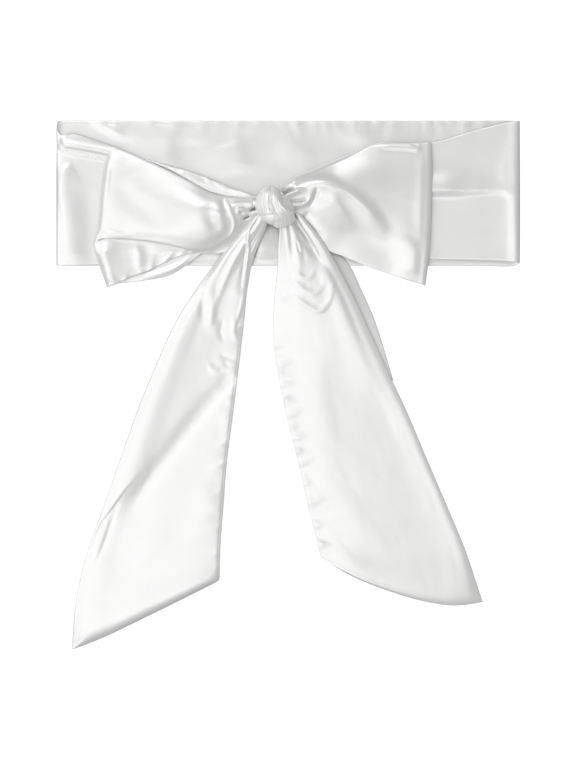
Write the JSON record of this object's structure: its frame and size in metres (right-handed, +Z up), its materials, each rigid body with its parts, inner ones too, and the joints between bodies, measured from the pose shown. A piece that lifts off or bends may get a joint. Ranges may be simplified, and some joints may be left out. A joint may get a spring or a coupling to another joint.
{
  "type": "satin waist sash",
  "caption": "Wide white satin waist sash, folded flat with its front tied in a soft bow and its slanted tails laid out below.",
  "frame": {"origin": "on the surface the sash lies on, at the middle of its outline", "axes": "+X to the bow's right as it is seen, +Y from the tails' ends up to the band's top edge, +Z up from the surface"},
  "size_m": [0.32, 0.365, 0.0253],
  "materials": {
    "satin": "white silky satin, soft broad gloss"
  },
  "bodies": {
    "root": {"back_band": "satin", "front_left": "satin", "front_right": "satin", "loop_left_under": "satin", "loop_left_upper": "satin", "loop_right_under": "satin", "loop_right_upper": "satin", "tail_left": "satin", "tail_right": "satin", "tail_right_pleat": "satin", "knot": "satin", "knot_wrap": "satin"}
  },
  "joints": []
}
